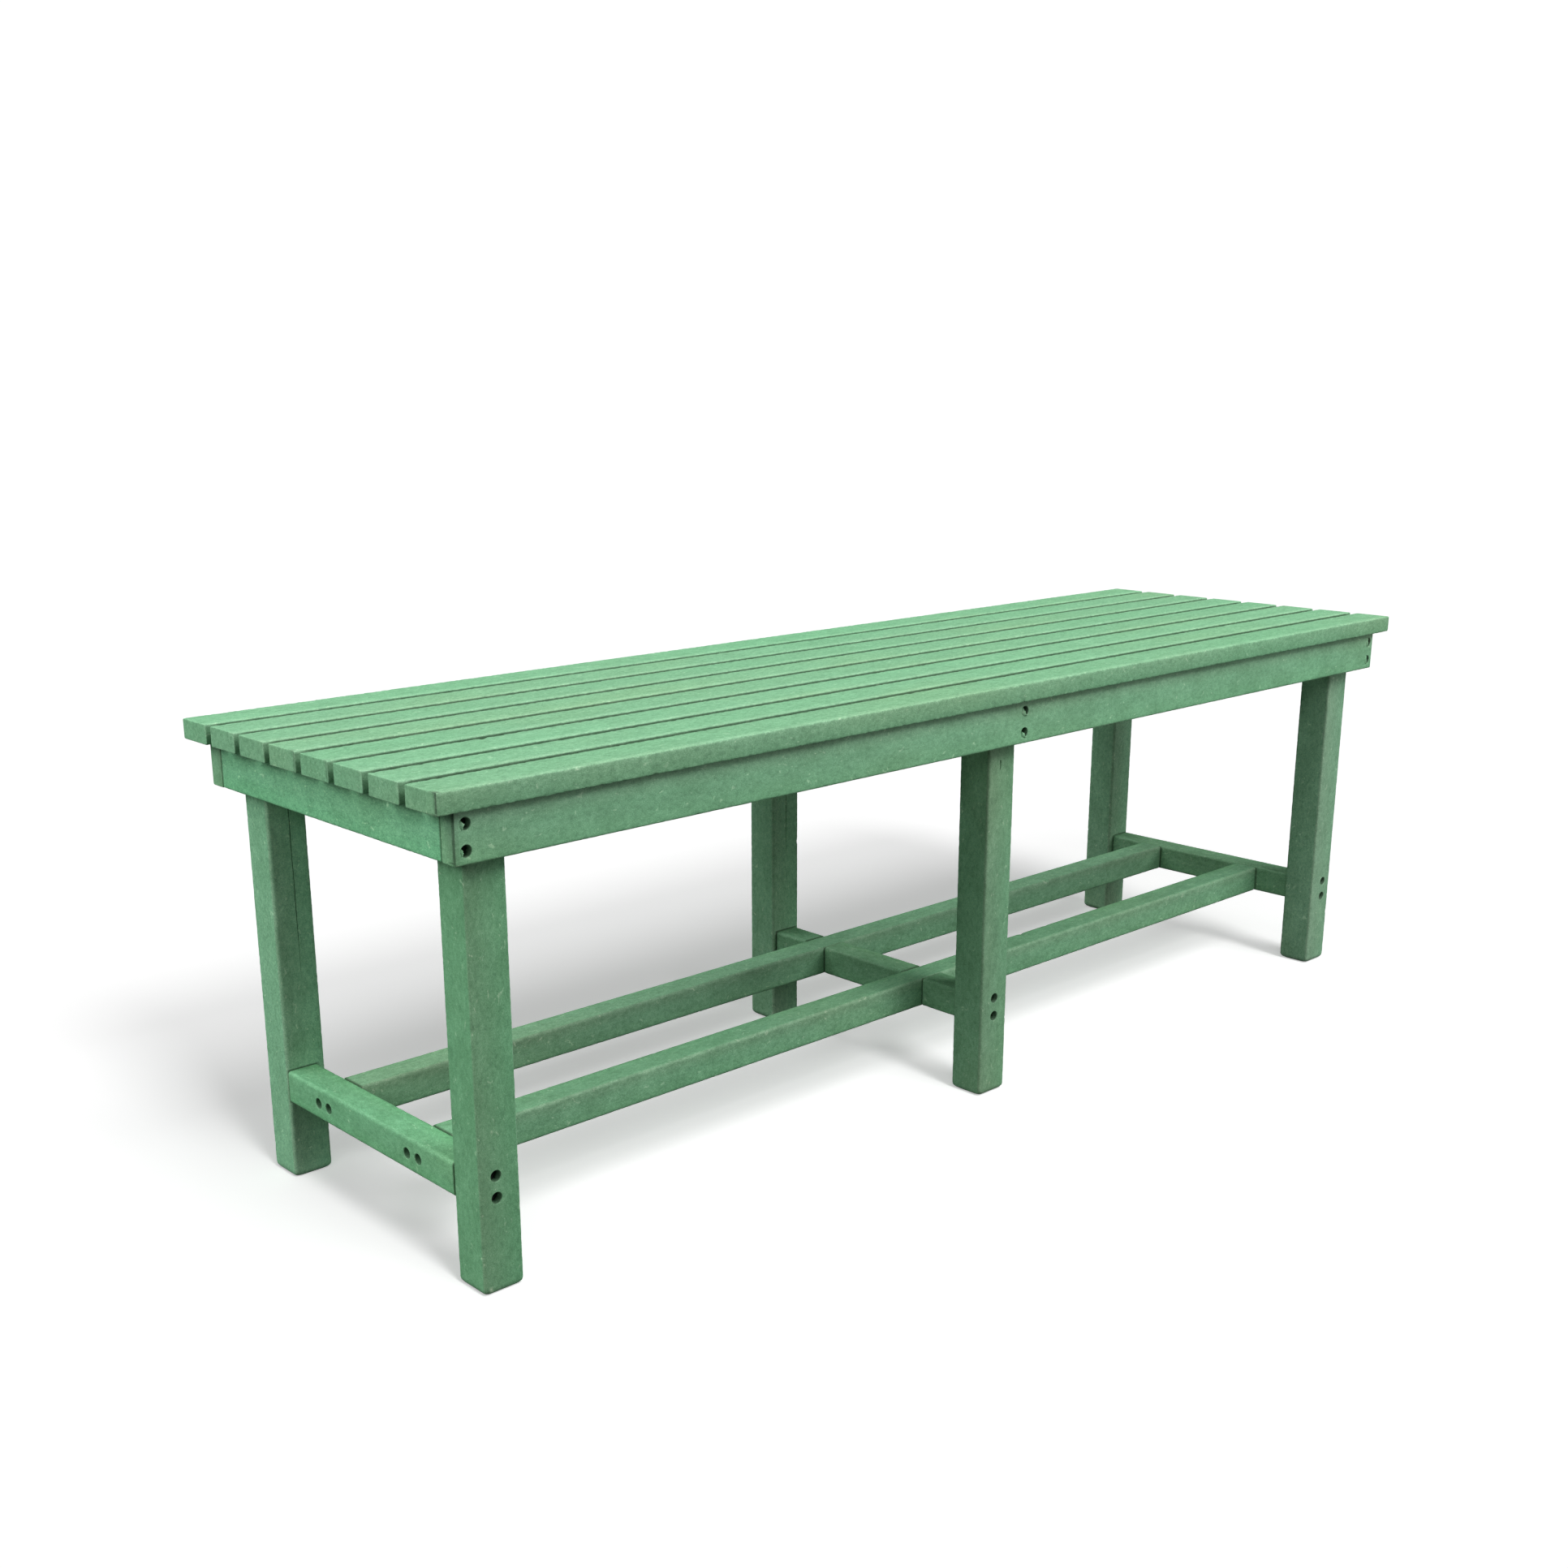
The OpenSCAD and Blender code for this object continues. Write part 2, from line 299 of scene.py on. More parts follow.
def make_cutter(name, mouths, wedge):
    """Closed cutters as one object: a wedge, if any, and for each mouth a bore with a broken rim."""
    profile = [
        (BORE_R + 0.8 * MM, 3 * MM), (BORE_R + 0.7 * MM, 0.0), (BORE_R, -0.8 * MM), (BORE_R, -BORE_DEPTH),
    ]
    turns = 40
    verts, faces = [], []
    for centre, out in mouths:
        w = Vector(out)
        u = Vector((0, 0, 1)) if abs(w.z) < 0.5 else Vector((1, 0, 0))
        v = w.cross(u)
        start = len(verts)
        for r, h in profile:
            for k in range(turns):
                t = 2 * math.pi * k / turns
                verts.append(Vector(centre) + u * (r * math.cos(t)) + v * (r * math.sin(t)) + w * h)
        last = len(verts) - turns
        for low in range(start, last, turns):
            faces += band(low, low + turns, turns)
        faces.append(tuple(range(start + turns - 1, start - 1, -1)))
        faces.append(tuple(range(last, last + turns)))
    mesh = bpy.data.meshes.new("cutter_" + name)
    mesh.from_pydata(verts, [], faces)
    face_outwards(mesh)
    join_closed(mesh, *wedge)
    cutter = bpy.data.objects.new("cutter_" + name, mesh)
    bpy.context.scene.collection.objects.link(cutter)
    return cutter


class Board:
    """One board of the frame, rebuilt with eased ends, slightly uneven faces, worn edges and nicks."""

    def __init__(self, node, radius, end_radius, feet):
        self.node = node
        self.lo, self.hi = (np.array(v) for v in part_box(node))
        size = self.hi - self.lo
        self.along = int(np.argmax(size))
        self.across = [(self.along + 1) % 3, (self.along + 2) % 3]
        self.length = size[self.along]
        self.a, self.b = size[self.across[0]], size[self.across[1]]
        self.centre = (self.lo + self.hi) / 2
        self.radius, self.end_radius, self.feet = radius, end_radius, feet
        self.low_radius = FOOT_ROUND if feet else end_radius
        self.rng = random.Random(node)
        self.shift = np.array([self.rng.uniform(-50, 50) for _ in range(3)])
        self.mouths = [m for m in MOUTHS if self.holds(m)]
        self.nicks = []
        self.creases = []
        self.split = SPLITS.get(node)
        self.curl_points = 0

    def holds(self, mouth):
        """True if a counterbore opens on this board's face."""
        centre, out = mouth
        axis = int(np.argmax(abs(out)))
        face = self.hi[axis] if out[axis] > 0 else self.lo[axis]
        slack = 0.1 * MM
        inside = all(self.lo[i] - slack < centre[i] < self.hi[i] + slack for i in (X, Y, Z))
        return inside and abs(centre[axis] - face) < 0.5 * MM

    def local(self, points):
        """Row-frame points as (along, across a, across b), measured from the board's centre."""
        d = points - self.centre
        return np.stack([d[:, self.along], d[:, self.across[0]], d[:, self.across[1]]], 1)

    def world(self, local):
        """The reverse of local()."""
        out = np.zeros_like(local)
        out[:, self.along] = local[:, 0]
        out[:, self.across[0]] = local[:, 1]
        out[:, self.across[1]] = local[:, 2]
        return out + self.centre

    def nick(self, at, a, b, reach, depth):
        """A chip out of the board at that place along it, on the edge or face nearest to (a, b)."""
        self.nicks.append((at, a, b, reach, depth))

    def random_nicks(self, count, reach, depth):
        """Small chips out of the long edges, within those ranges of reach and depth."""
        for _ in range(count):
            sa, sb = self.rng.choice([(-1, 1), (1, 1), (-1, -1), (1, -1)])
            self.nick(
                self.rng.uniform(-0.48, 0.48) * self.length,
                sa * (self.a / 2 - self.radius * 0.3), sb * (self.b / 2 - self.radius * 0.3),
                self.rng.uniform(*reach), self.rng.uniform(*depth),
            )

    def crease(self, end, side, depth):
        """A torn groove down an end (-1 low, 1 high), just behind the face on that side (axis, sign)."""
        self.creases.append((end, self.across.index(side[0]), side[1], depth))

    def behind_face(self, local, across, sign):
        """How far each point is behind the face on that side."""
        return (self.a, self.b)[across] / 2 - sign * local[:, 1 + across]

    def groove(self, local):
        """How deep each point of the end faces lies in a crease, in metres along the board."""
        depth = np.zeros(len(local))
        for end, across, sign, deepest in self.creases:
            inset = self.behind_face(local, across, sign)
            heights = local[:, 2 - across] / (6 * MM)
            ragged = np.array([0.75 + 0.5 * noise.noise(Vector((h, self.shift[0], 0))) for h in heights])
            at_end = end * local[:, 0] > self.length / 2 - 0.3 * MM
            depth += at_end * deepest * ragged * np.exp(-(((inset - CREASE_IN) / (1.0 * MM)) ** 2))
        return depth

    def crease_shade(self, local):
        """1 in the depth of a crease, fading to 0 beside it."""
        shade = np.zeros(len(local))
        for end, across, sign, deepest in self.creases:
            inset = self.behind_face(local, across, sign)
            at_end = end * local[:, 0] > self.length / 2 - 4 * MM
            near = np.exp(-(((inset - CREASE_IN - 0.2 * MM) / (0.75 * deepest)) ** 2))
            shade = np.maximum(shade, at_end * near * min(1.0, deepest / (1.5 * MM)))
        return shade

    def split_x(self):
        """Where the split is along X."""
        return self.lo[X] + self.split[0] * (self.hi[X] - self.lo[X])

    def split_wedge(self):
        """A closed, slightly wavy wedge that opens a shrinkage split down the board's front (-Y) face."""
        _, top, bottom, width, deepest = self.split
        steps, proud = 28, 1.0 * MM
        y = self.lo[Y]
        verts, faces = [], []
        for k in range(steps + 1):
            f = k / steps
            z = top + (bottom - top) * f
            x = self.split_x() + 0.5 * MM * noise.noise(Vector((f * 5, self.shift[0], 0)))
            ragged = 0.8 + 0.4 * noise.noise(Vector((f * 9, self.shift[1], 0)))
            open_by = (1 - f) ** 0.5 * ragged + 0.02
            depth = deepest * open_by
            outer = 0.5 * width * open_by * (1 + proud / depth)
            verts += [(x - outer, y - proud, z), (x + outer, y - proud, z), (x, y + depth, z)]
        for low in range(0, 3 * steps, 3):
            faces += band(low, low + 3, 3)
        faces += [(2, 1, 0), (3 * steps, 3 * steps + 1, 3 * steps + 2)]
        return verts, faces

    def wear_down(self, local, normals, ragged):
        """Push points inwards: wavy faces, ragged edges and nicks."""
        s, a, b = local.T
        waves = local / (50 * MM) * (0.35, 1, 1) + self.shift
        depth = UNEVEN * (0.5 + 0.5 * fractal(waves))
        edge = near_edge(a, b, self.a / 2, self.b / 2)
        on_edge = np.clip(1.6 - edge / (self.radius * 0.9), 0, 1)
        crumbs = local / (3.6 * MM) * (0.9, 1, 1) + self.shift
        depth += ragged * on_edge * np.clip(fractal(crumbs, 3) + 0.25, 0, 1)
        for at, na, nb, reach, d in self.nicks:
            far = ((s - at) / reach) ** 2 + ((a - na) ** 2 + (b - nb) ** 2) / (0.55 * reach) ** 2
            depth += d * np.clip(1 - far, 0, 1) ** 0.6
        return local - normals * depth[:, None]

    def ring_plan(self, step):
        """Rings along the board, as (place, inset): rounded low end, straight run, rounded high end."""
        fine = [
            (self.local(centre[None])[0][0] + self.length / 2, 7 * MM)
            for centre, out in self.mouths if abs(out[self.along]) < 0.5
        ]
        fine += [(at + self.length / 2, reach) for at, _, _, reach, _ in self.nicks]
        bends = np.linspace(math.pi / 2, 0, 5)
        low, high = self.low_radius, self.end_radius
        first, last = low + 0.3 * MM, self.length - high - 0.3 * MM
        plan = [(0.0, low + inset) for inset in CAP_INSETS]
        plan += [(low * (1 - math.sin(t)), low * (1 - math.cos(t))) for t in bends]
        plan += [(s, 0.0) for s in stations(self.length, step, fine) if first < s < last]
        plan += [(self.length - high * (1 - math.sin(t)), high * (1 - math.cos(t))) for t in bends[::-1]]
        plan += [(self.length, high + inset) for inset in CAP_INSETS[::-1]]
        return plan

    def build(self, step, flat_step, ragged):
        """Make self.piece, an object of rings spaced by step, with points on them spaced by flat_step."""
        flat_a = max(2, round((self.a - 2 * self.radius) / flat_step))
        flat_b = max(2, round((self.b - 2 * self.radius) / flat_step))
        plan = self.ring_plan(step)
        local, normals = [], []
        for s, inset in plan:
            r = max(self.radius - inset, 0.45 * self.radius)
            if self.feet and s < self.low_radius:
                r = self.radius + 0.8 * inset
            p, n = section(self.a - 2 * inset, self.b - 2 * inset, r, flat_a, flat_b)
            local.append(np.column_stack([np.full(len(p), s - self.length / 2), p]))
            normals.append(np.column_stack([np.zeros(len(p)), n]))
        m = len(local[0])
        local, normals = np.concatenate(local), np.concatenate(normals)
        local = self.wear_down(local, normals, ragged)
        local[:, 0] -= np.sign(local[:, 0]) * self.groove(local)
        # One more ring on each cap, so that edge wear fades close to the edge
        low_cap, high_cap = len(local), len(local) + m
        local = np.concatenate([local, local[:m] * (1, 0.9, 0.9), local[-m:] * (1, 0.9, 0.9)])
        faces = band(low_cap, 0, m) + band(low_cap - m, high_cap, m)
        for low in range(0, low_cap - m, m):
            faces += band(low, low + m, m)
        faces.append(tuple(range(high_cap - 1, low_cap - 1, -1)))
        faces.append(tuple(range(high_cap, high_cap + m)))
        mesh = bpy.data.meshes.new(self.node)
        mesh.from_pydata(self.world(local).tolist(), [], faces)
        face_outwards(mesh)
        self.piece = bpy.data.objects.new("board_" + self.node, mesh)
        bpy.context.scene.collection.objects.link(self.piece)
        if self.mouths or self.split:
            self.cut_holes()

    def cut_holes(self):
        """Cut the counterbores and the split out of the board."""
        wedge = self.split_wedge() if self.split else ([], [])
        cutter = make_cutter(self.node, self.mouths, wedge)
        mod = self.piece.modifiers.new("holes", "BOOLEAN")
        mod.operation, mod.solver, mod.object = "DIFFERENCE", "EXACT", cutter
        bpy.context.view_layer.update()
        graph = bpy.context.evaluated_depsgraph_get()
        done = bpy.data.meshes.new_from_object(self.piece.evaluated_get(graph))
        old = self.piece.data
        self.piece.modifiers.clear()
        self.piece.data = done
        bpy.data.meshes.remove(old)
        bpy.data.objects.remove(cutter)

    def curl(self, mouth, angle, span, reach):
        """A torn flap left round part of a bore's rim on a front or rear face, as a closed curled chip."""
        centre, out = mouth
        u, v = np.array([1.0, 0, 0]), np.array([0, 0, 1.0])
        root, lift = 0.9 * MM, 1.7 * MM
        across, inwards = 14, 6
        verts, faces = [], []
        for layer in (0, 1):
            for i in range(across + 1):
                f = i / across
                t = math.radians(angle + span * (2 * f - 1))
                wave = noise.noise(Vector((f * 4 + self.shift[1], layer * 0.1, 0)))
                depth = reach * math.sin(math.pi * f) ** 0.6 * (1 + 0.35 * wave)
                for j in range(inwards + 1):
                    g = j / inwards
                    r = BORE_R + root - g * (depth + root)
                    h = lift * math.sin(math.pi * 0.85 * g) - (0.75 + layer * (0.55 - 0.25 * g)) * MM
                    verts.append(centre + u * (r * math.cos(t)) + v * (r * math.sin(t)) + out * h)
        row = inwards + 1
        sheet = (across + 1) * row
        for i in range(across):
            for j in range(inwards):
                a = i * row + j
                quad = (a, a + row, a + row + 1, a + 1)
                faces.append(quad)
                faces.append(tuple(sheet + k for k in quad[::-1]))
        border = [i * row for i in range(across)] + [across * row + j for j in range(inwards)]
        border += [i * row + inwards for i in range(across, 0, -1)] + list(range(inwards, 0, -1))
        for at, after in zip(border, border[1:] + border[:1]):
            faces.append((after, at, sheet + at, sheet + after))
        join_closed(self.piece.data, verts, faces)
        self.curl_points += len(verts)

    def hole_and_rim(self, co):
        """Painted shade for each point deep in a bore, crease or split, and a painted highlight for each
        point near a bore's rim, both 0 to 1.
        """
        hole, rim_highlight = self.crease_shade(self.local(co)), np.zeros(len(co))
        for centre, out in self.mouths:
            d = co - centre
            height = d @ out
            radial = np.linalg.norm(d - height[:, None] * out, axis=1)
            in_bore = (radial < BORE_R * 1.03) & (height > -BORE_DEPTH - 1 * MM)
            hole = np.maximum(hole, in_bore * np.clip(-height / (1 * MM), 0, 1))
            level = abs(height) < 1 * MM
            rim_highlight = np.maximum(rim_highlight, level * np.clip(1 - abs(radial - BORE_R) / (1.6 * MM), 0, 1))
        if self.split:
            _, top, bottom, _, _ = self.split
            in_split = abs(co[:, X] - self.split_x()) < 1.8 * MM
            in_split &= (co[:, Z] <= top + 0.1 * MM) & (co[:, Z] >= bottom - 0.1 * MM)
            deep = co[:, Y] - self.lo[Y]
            hole = np.maximum(hole, in_split & (deep > 0.25 * MM) & (deep < 5 * MM))
        return hole, rim_highlight

    def weather_and_side_light(self, local):
        """How far each point is from the upper front left edge, 0 to 1: at least 0.5 off the front face. The
        plastic's side tints read it, partly for weathering and partly as painted light.
        """
        facing = (-1, -1, 1)
        one = local[:, 1] * facing[self.across[0]] / (self.a / 2)
        two = local[:, 2] * facing[self.across[1]] / (self.b / 2)
        far = np.clip((1 - np.minimum(one, two)) / 2, 0, 1)
        if Y not in self.across:
            return np.maximum(far, 0.5)
        front = (one, two)[self.across.index(Y)]
        if self.node in SLATS or self.feet:
            # Slats and legs take the front tint nearly all over their fronts
            far = far * 0.55
        return np.where(front > 0.85, far, np.maximum(far, 0.5))

    def paint_facts(self):
        """Point attributes that the plastic reads: grain place, edge wear, sawn ends, painted shade in holes,
        painted highlights on rims, side tints and tones that partly hold painted light.
        """
        mesh = self.piece.data
        co = read_vectors(mesh.vertices, "co")
        local = self.local(co)
        s, a, b = local.T
        edge = near_edge(a, b, self.a / 2, self.b / 2)
        ends = np.maximum(self.length / 2 - abs(s), 0)
        sides = np.minimum(np.maximum(self.a / 2 - abs(a), 0), np.maximum(self.b / 2 - abs(b), 0))
        wear = np.clip(1.4 - np.minimum(edge, ends + sides) / self.radius, 0, 1)
        hole, rim_highlight = self.hole_and_rim(co)
        # The curls take no painted shade and the full painted highlight
        if self.curl_points:
            hole[-self.curl_points:] = 0.0
            rim_highlight[-self.curl_points:] = 1.0
            wear[-self.curl_points:] = 0.0
        tone_and_light = np.full(len(co), self.rng.uniform(-1, 1) + TONE_AND_LIGHT_STEPS.get(self.node, 0.0))
        if self.node.startswith("side_apron"):
            # Painted light: the strip under the slats' overhang is painted lighter, against the shade it lies
            # in
            tone_and_light += 6.5 * np.clip(1 - (self.hi[Z] - co[:, Z]) / OVERHANG_SHADE, 0, 1)
        facts = {
            "wear": wear, "hole": hole, "rim_highlight": rim_highlight, "tone_and_light": tone_and_light,
            "cut": np.clip(1 - ends / (0.4 * self.end_radius), 0, 1),
            "weather_and_side_light": self.weather_and_side_light(local),
            "rich": np.full(len(co), RICHNESS_AND_LIGHT.get(self.node, 0.0)),
        }
        for name, values in facts.items():
            add_attribute(mesh, name, "FLOAT", values)
        add_attribute(mesh, "grain", "FLOAT_VECTOR", local + self.shift * 0.1)


# ---------------------------------------------------------------- painted shade between the boards

# Reach of the painted shade from test rays, and of the painted contact shadow along a seam
SHADE_REACH = 4.5 * MM
SEAM = 1.5 * MM
# Test rays about a point's normal: sine of the lean away from it, and turn round it
RAYS = [(0.45, 0.0), (0.45, 2.1), (0.45, 4.2), (0.88, 1.0), (0.88, 2.6), (0.88, 4.2), (0.88, 5.7)]


def shut_in(tree, point, normal):
    """How much the surfaces within reach close in a point, 0 to 1."""
    n = Vector(normal)
    start = Vector(point) + n * (0.4 * MM)
    side = n.orthogonal().normalized()
    other_side = n.cross(side)
    shut = 0.0
    for lean, turn_by in RAYS:
        sideways = side * math.cos(turn_by) + other_side * math.sin(turn_by)
        hit = tree.ray_cast(start, n * math.sqrt(1 - lean * lean) + sideways * lean, SHADE_REACH)
        if hit[0] is not None:
            shut += 1 - hit[3] / SHADE_REACH
    return shut / len(RAYS)


def slat_gap_shade(board, co, normal, to_slat):
    """Painted shade on the walls of the gaps between slats, from just under the top face, thinner near the
    ends.
    """
    below = np.clip((board.hi[Z] - co[:, Z] - 0.3 * MM) / (1.1 * MM), 0, 1)
    facing_gap = (to_slat < 10 * MM) & (abs(normal[:, Y]) > 0.5)
    from_end = board.length / 2 - abs(co[:, X] - board.centre[X])
    return 0.62 * below * facing_gap * np.clip(from_end / (12 * MM), 0.5, 1)


def paint_occlusion_shade(boards):
    """Paint shade onto each point of a board: how closely it is shut in by the other boards round it."""
    points, polygons = [], []
    for board in boards:
        mesh = board.piece.data
        start = len(points)
        points += [v.co for v in mesh.vertices]
        polygons += [[start + i for i in p.vertices] for p in mesh.polygons]
    tree = BVHTree.FromPolygons(points, polygons)
    for board in boards:
        mesh = board.piece.data
        co, normal = read_vectors(mesh.vertices, "co"), read_vectors(mesh.vertex_normals, "vector")
        nearest, to_slat = np.full(len(co), 1.0), np.full(len(co), 1.0)
        for other in boards:
            if other is not board:
                gap = np.maximum(np.maximum(other.lo - co, co - other.hi), 0)
                far = np.sqrt((gap ** 2).sum(1))
                nearest = np.minimum(nearest, far)
                if other.node in SLATS:
                    to_slat = np.minimum(to_slat, far)
        # Painted contact shadow along the seams, then painted shade where other boards close a point in
        occlusion_shade = 0.85 * np.clip(1 - nearest / SEAM, 0, 1)
        for i in np.nonzero(nearest < SHADE_REACH)[0]:
            occlusion_shade[i] = max(occlusion_shade[i], shut_in(tree, co[i], normal[i]))
        # Slats also get painted shade down the walls of the gaps between them
        if board.node in SLATS:
            occlusion_shade = np.maximum(occlusion_shade, slat_gap_shade(board, co, normal, to_slat))
        add_attribute(mesh, "occlusion_shade", "FLOAT", occlusion_shade)


# ---------------------------------------------------------------- materials


def link(tree, a, b):
    """Join an output to an input."""
    tree.links.new(a, b)


def node(tree, kind, **values):
    """A new node with those properties or input values."""
    n = tree.nodes.new(kind)
    for key, value in values.items():
        if hasattr(n, key):
            setattr(n, key, value)
        else:
            n.inputs[key].default_value = value
    return n


def math_node(tree, operation, a, b):
    """The result of an operation on two sockets or numbers."""
    n = node(tree, "ShaderNodeMath", operation=operation)
    for socket, value in zip(n.inputs, (a, b)):
        if isinstance(value, bpy.types.NodeSocket):
            link(tree, value, socket)
        else:
            socket.default_value = value
    return n.outputs[0]


def times(tree, a, b):
    return math_node(tree, "MULTIPLY", a, b)


def plus(tree, a, b):
    return math_node(tree, "ADD", a, b)


def spread(tree, value, low, high, to_low=0.0, to_high=1.0):
    """The value, moved from the range low..high to to_low..to_high and kept within it."""
    n = tree.nodes.new("ShaderNodeMapRange")
    link(tree, value, n.inputs["Value"])
    n.inputs["From Min"].default_value, n.inputs["From Max"].default_value = low, high
    n.inputs["To Min"].default_value, n.inputs["To Max"].default_value = to_low, to_high
    return n.outputs["Result"]


def mix(tree, factor, a, b, blend="MIX"):
    """Colour a with colour b blended over it."""
    n = node(tree, "ShaderNodeMix", data_type="RGBA", blend_type=blend)
    for socket, value in ((n.inputs[0], factor), (n.inputs[6], a), (n.inputs[7], b)):
        if isinstance(value, bpy.types.NodeSocket):
            link(tree, value, socket)
        elif isinstance(value, (int, float)):
            socket.default_value = value
        else:
            socket.default_value = (*value, 1.0)
    return n.outputs[2]


def tinted(tree, colour, amount, tint):
    """The colour, multiplied by a tint by that amount."""
    return mix(tree, amount, colour, mix(tree, 1.0, colour, tint, "MULTIPLY"))


def attribute(tree, name):
    """A node that reads what is painted on a mesh's points under that name."""
    return node(tree, "ShaderNodeAttribute", attribute_name=name)


def fact(tree, name):
    """One of the numbers that are painted on a board's points."""
    return attribute(tree, name).outputs["Fac"]


def noise_of(tree, coords, stretch, scale, detail, rough=0.55, distort=0.0):
    """Noise over a board's own coordinates: features 1/scale metres across, drawn out along the board."""
    m = node(tree, "ShaderNodeMapping", Scale=(scale / stretch, scale, scale))
    link(tree, coords, m.inputs["Vector"])
    n = node(tree, "ShaderNodeTexNoise", Scale=1.0, Detail=detail, Roughness=rough, Distortion=distort)
    link(tree, m.outputs[0], n.inputs["Vector"])
    return n.outputs["Fac"]


def relief(tree, bsdf, height, strength, distance):
    """Fine relief on a surface."""
    bump = node(tree, "ShaderNodeBump", Strength=strength, Distance=distance)
    link(tree, height, bump.inputs["Height"])
    link(tree, bump.outputs[0], bsdf.inputs["Normal"])


def new_material(name):
    """A new material, its node tree and its main shader."""
    mat = bpy.data.materials.new(name)
    mat.use_nodes = True
    return mat, mat.node_tree, mat.node_tree.nodes["Principled BSDF"]


def fleck_mask(t, coords):
    """1 on curved flecks: the cores of a few cells of a stretched cell pattern that is bent by noise."""
    sway = node(t, "ShaderNodeTexNoise", Scale=90.0, Detail=1.0)
    link(t, coords, sway.inputs["Vector"])
    bent = node(t, "ShaderNodeVectorMath", operation="MULTIPLY_ADD")
    link(t, sway.outputs["Color"], bent.inputs[0])
    bent.inputs[1].default_value = (0.022, 0.022, 0.022)
    link(t, coords, bent.inputs[2])
    stretched = node(t, "ShaderNodeMapping", Scale=(85, 230, 230))
    link(t, bent.outputs[0], stretched.inputs["Vector"])
    cells = node(t, "ShaderNodeTexVoronoi", Scale=1.0)
    link(t, stretched.outputs[0], cells.inputs["Vector"])
    lot = math_node(t, "FRACT", times(t, cells.outputs["Color"], 7.0), 0.0)
    core = spread(t, cells.outputs["Distance"], 0.12, 0.34, 1.0, 0.0)
    return times(t, spread(t, lot, 0.86, 0.88), core)


def plastic(name, dark, light, grain_depth, fleck, front):
    """Moulded recycled plastic: clouded colour, fine grain along the board, pale flecks and worn edges, with
    painted shade, highlights and light read from its boards' points.
    """
    mat, t, bsdf = new_material(name)
    coords = attribute(t, "grain").outputs["Vector"]
    clouds = noise_of(t, coords, 1.7, 55, 3)
    drifts = noise_of(t, coords, 2.6, 7, 2)
    grain = noise_of(t, coords, 1.6, 270, 3, 0.7, 0.5)
    fine = noise_of(t, coords, 1.4, 1150, 2, 0.6)
    body = mix(t, spread(t, clouds, 0.30, 0.70), dark, light)
    # Slow drifts between a yellower and a bluer green
    body = tinted(t, body, spread(t, drifts, 0.50, 0.72), (1.06, 0.99, 0.95))
    body = tinted(t, body, spread(t, drifts, 0.50, 0.28), (0.95, 1.01, 0.98))
    # The fronts take their own tint and the far sides of each board are greener: partly weathering, partly
    # painted light and shade for how light falls on each side
    far = fact(t, "weather_and_side_light")
    body = tinted(t, body, spread(t, far, 0.45, 0.0), front)
    body = tinted(t, body, spread(t, far, 0.55, 1.0), (0.95, 1.02, 0.95))
    # Grain: darker hollows and paler crests
    body = tinted(t, body, spread(t, grain, 0.50, 0.32, 0.0, grain_depth), (0.78, 0.80, 0.80))
    body = tinted(t, body, spread(t, grain, 0.52, 0.70, 0.0, grain_depth), (1.24, 1.15, 1.20))
    body = tinted(t, body, spread(t, fine, 0.53, 0.70), (1.34, 1.20, 1.28))
    body = tinted(t, body, spread(t, fine, 0.47, 0.30), (0.70, 0.75, 0.72))
    body = tinted(t, body, times(t, fleck_mask(t, coords), fleck), (1.85, 1.42, 1.6))
    # Wear on edges, broken up along the board
    rubbed = noise_of(t, coords, 2.5, 160, 3, 0.65)
    worn = times(t, spread(t, fact(t, "wear"), 0.45, 1.0), spread(t, rubbed, 0.42, 0.60))
    body = tinted(t, body, times(t, worn, 0.5), (1.22, 1.12, 1.16))
    # Sawn ends are a little paler; counterbores, creases and splits get a painted shade, and bore rims and
    # curls a painted highlight
    body = tinted(t, body, times(t, fact(t, "cut"), 0.5), (1.13, 1.08, 1.10))
    body = mix(t, times(t, fact(t, "hole"), 0.75), body, (0.036, 0.056, 0.038))
    body = tinted(t, body, times(t, fact(t, "rim_highlight"), 0.4), (1.25, 1.18, 1.2))
    # Painted shade where boards meet and where they close each other in
    body = tinted(t, body, spread(t, fact(t, "occlusion_shade"), 0.08, 0.60, 0.0, 0.95), (0.30, 0.32, 0.29))
    # Differences between boards: partly their own tone, partly painted light and shade, with the painted
    # light of the strip under the overhang
    tone_and_light = fact(t, "tone_and_light")
    hsv = t.nodes.new("ShaderNodeHueSaturation")
    link(t, plus(t, times(t, tone_and_light, 0.03), 1.0), hsv.inputs["Value"])
    link(t, plus(t, times(t, tone_and_light, 0.001), 0.5), hsv.inputs["Hue"])
    link(t, plus(t, fact(t, "rich"), 1.0), hsv.inputs["Saturation"])
    link(t, body, hsv.inputs["Color"])
    link(t, hsv.outputs[0], bsdf.inputs["Base Color"])
    link(t, spread(t, grain, 0.3, 0.7, 0.66, 0.54), bsdf.inputs["Roughness"])
    bsdf.inputs["Specular IOR Level"].default_value = 0.35
    relief(t, bsdf, plus(t, times(t, grain, 0.8), times(t, fine, 0.3)), 0.5, 0.4 * MM)
    return mat


